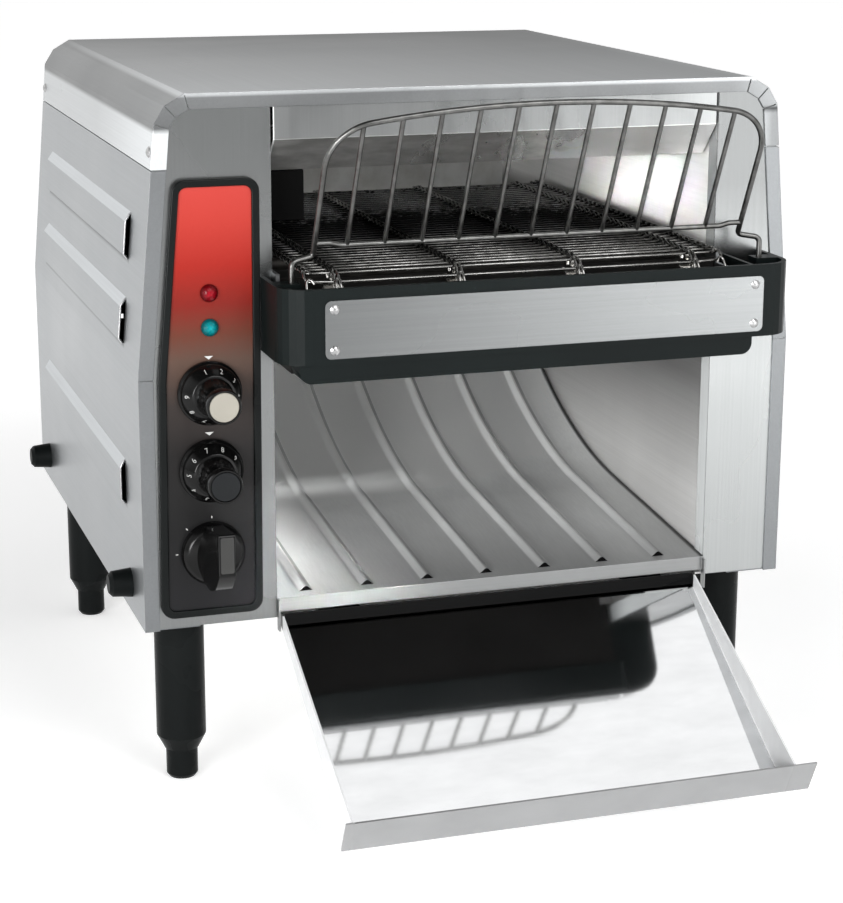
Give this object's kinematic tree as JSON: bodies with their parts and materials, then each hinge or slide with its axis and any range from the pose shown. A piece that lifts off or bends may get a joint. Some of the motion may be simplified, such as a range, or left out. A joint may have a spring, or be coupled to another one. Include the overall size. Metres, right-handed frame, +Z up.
{
  "type": "conveyor toaster",
  "caption": "Countertop conveyor toaster with a wire belt over a curved slide, a pull-off toast tray, a wire bread guard, dials and four legs.",
  "frame": {"origin": "centre of the bounding box in plan, at the underside of the feet", "axes": "+X to the right as seen by the user facing the controls, +Y to the back, away from the user, +Z up"},
  "size_m": [0.393, 0.501, 0.377],
  "materials": {
    "casing_steel": "fine straight brushed stainless steel, satin",
    "chamber_steel": "mill-finish stainless steel, lightly heat-tinted",
    "slide_steel": "bright rolled stainless steel, worn smooth",
    "tray_steel": "polished stainless steel, close to a mirror",
    "wire_steel": "drawn stainless wire, darkened by heat",
    "guard_wire": "bright bent wire",
    "shaft_steel": "turned steel",
    "sheathed_tube": "metal-sheathed heater tube, oxidised grey",
    "collar_ceramic": "unglazed white ceramic",
    "bezel_plastic": "black moulded plastic, fine texture",
    "shelf_plastic": "black moulded plastic, satin",
    "overlay_film": "printed film, red at the top running to dark grey",
    "lamp_red": "clear red lens",
    "lamp_teal": "dark teal lens",
    "dial_plastic": "black moulded plastic, semi-gloss",
    "cap_ivory": "ivory plastic",
    "cap_grey": "dark grey plastic",
    "control_metal": "pressed can",
    "switch_plastic": "dark grey moulding",
    "plate_steel": "bare brushed plate",
    "bush_brass": "sintered bronze",
    "chain_steel": "oiled roller chain",
    "motor_paint": "grey enamel",
    "zinc_sheet": "zinc-plated sheet",
    "fan_plastic": "black moulding",
    "leg_plastic": "black moulded plastic",
    "bumper_rubber": "black rubber",
    "screw_steel": "plated steel",
    "gland_plastic": "black nylon",
    "cover_enamel": "black heat-proof enamel",
    "board_green": "green circuit board"
  },
  "bodies": {
    "casing": {"base_pan": "chamber_steel", "side_panel_left": "casing_steel", "side_panel_right": "casing_steel", "top_cover": "casing_steel", "rear_panel": "casing_steel", "front_column_left": "casing_steel", "front_column_right": "casing_steel", "header_panel": "casing_steel", "inner_wall_left": "chamber_steel", "inner_wall_right": "chamber_steel", "chamber_back": "chamber_steel", "upper_reflector": "chamber_steel", "lower_reflector": "chamber_steel", "upper_heaters": "sheathed_tube", "lower_heaters": "sheathed_tube", "heater_collars": "collar_ceramic", "control_bezel": "bezel_plastic", "control_overlay": "overlay_film", "power_lamp": "lamp_red", "ready_lamp": "lamp_teal", "dial_controls": "control_metal", "function_switch": "switch_plastic", "front_shelf": "shelf_plastic", "nameplate": "plate_steel", "nameplate_rivets": "screw_steel", "conveyor_belt": "wire_steel", "conveyor_frame": "zinc_sheet", "belt_rails": "shaft_steel", "shaft_bushes": "bush_brass", "drive_chain": "chain_steel", "gear_motor": "motor_paint", "motor_bracket": "zinc_sheet", "fan_frame": "fan_plastic", "toast_slide": "slide_steel", "legs": "leg_plastic", "side_bumpers": "bumper_rubber", "cover_screws": "screw_steel", "cord_gland": "gland_plastic", "lead_cover": "cover_enamel", "control_board": "board_green"},
    "speed_dial": {"speed_knob": "dial_plastic", "speed_cap": "cap_ivory"},
    "power_dial": {"power_knob": "dial_plastic", "power_cap": "cap_grey"},
    "function_dial": {"function_knob": "dial_plastic"},
    "guard": {"bread_guard": "guard_wire"},
    "catch_tray": {"toast_tray": "tray_steel"},
    "crumb_drawer": {"crumb_tray": "chamber_steel", "crumb_tray_handle": "shelf_plastic"},
    "drive_axle": {"drive_shaft": "shaft_steel", "drive_sprockets": "shaft_steel", "chain_wheel": "shaft_steel"},
    "idler_axle": {"idler_shaft": "shaft_steel", "idler_sprockets": "shaft_steel"},
    "motor_output": {"motor_sprocket": "shaft_steel"},
    "cooling_fan": {"fan_rotor": "fan_plastic"},
    "leveller_front_left": {"foot_front_left": "leg_plastic"},
    "leveller_front_right": {"foot_front_right": "leg_plastic"},
    "leveller_rear_left": {"foot_rear_left": "leg_plastic"},
    "leveller_rear_right": {"foot_rear_right": "leg_plastic"}
  },
  "joints": [
    {"name": "speed_turn", "type": "hinge", "parent": "casing", "child": "speed_dial", "pos_m": [-0.1473, -0.13654, 0.2233], "axis": [0, -1, 0], "range_deg": [-16, 272]},
    {"name": "power_turn", "type": "hinge", "parent": "casing", "child": "power_dial", "pos_m": [-0.1473, -0.13654, 0.1818], "axis": [0, -1, 0], "range_deg": [-233, 55]},
    {"name": "function_turn", "type": "hinge", "parent": "casing", "child": "function_dial", "pos_m": [-0.1473, -0.13654, 0.137], "axis": [0, -1, 0], "range_deg": [0, 90]},
    {"name": "guard_lift", "type": "slide", "parent": "casing", "child": "guard", "axis": [0, 0, 1], "range_m": [0, 0.05]},
    {"name": "tray_pull", "type": "slide", "parent": "casing", "child": "catch_tray", "axis": [0, -1, 0], "range_m": [0, 0.07]},
    {"name": "crumb_pull", "type": "slide", "parent": "casing", "child": "crumb_drawer", "axis": [0, -1, 0], "range_m": [0, 0.2]},
    {"name": "drive_spin", "type": "hinge", "parent": "casing", "child": "drive_axle", "pos_m": [0, 0.12846, 0.272], "axis": [1, 0, 0], "continuous": true},
    {"name": "idler_spin", "type": "hinge", "parent": "casing", "child": "idler_axle", "pos_m": [0, -0.13654, 0.272], "axis": [1, 0, 0], "continuous": true},
    {"name": "motor_spin", "type": "hinge", "parent": "casing", "child": "motor_output", "pos_m": [-0.13, 0.12846, 0.18], "axis": [1, 0, 0], "continuous": true},
    {"name": "fan_spin", "type": "hinge", "parent": "casing", "child": "cooling_fan", "pos_m": [-0.149, 0.21846, 0.207], "axis": [0, 1, 0], "continuous": true},
    {"name": "level_front_left", "type": "slide", "parent": "casing", "child": "leveller_front_left", "axis": [0, 0, -1], "range_m": [0, 0.018]},
    {"name": "level_front_right", "type": "slide", "parent": "casing", "child": "leveller_front_right", "axis": [0, 0, -1], "range_m": [0, 0.018]},
    {"name": "level_rear_left", "type": "slide", "parent": "casing", "child": "leveller_rear_left", "axis": [0, 0, -1], "range_m": [0, 0.018]},
    {"name": "level_rear_right", "type": "slide", "parent": "casing", "child": "leveller_rear_right", "axis": [0, 0, -1], "range_m": [0, 0.018]}
  ],
  "couplings": [
    {"joint": "idler_spin", "follows": "drive_spin", "ratio": 1},
    {"joint": "motor_spin", "follows": "drive_spin", "ratio": 1.6923}
  ]
}
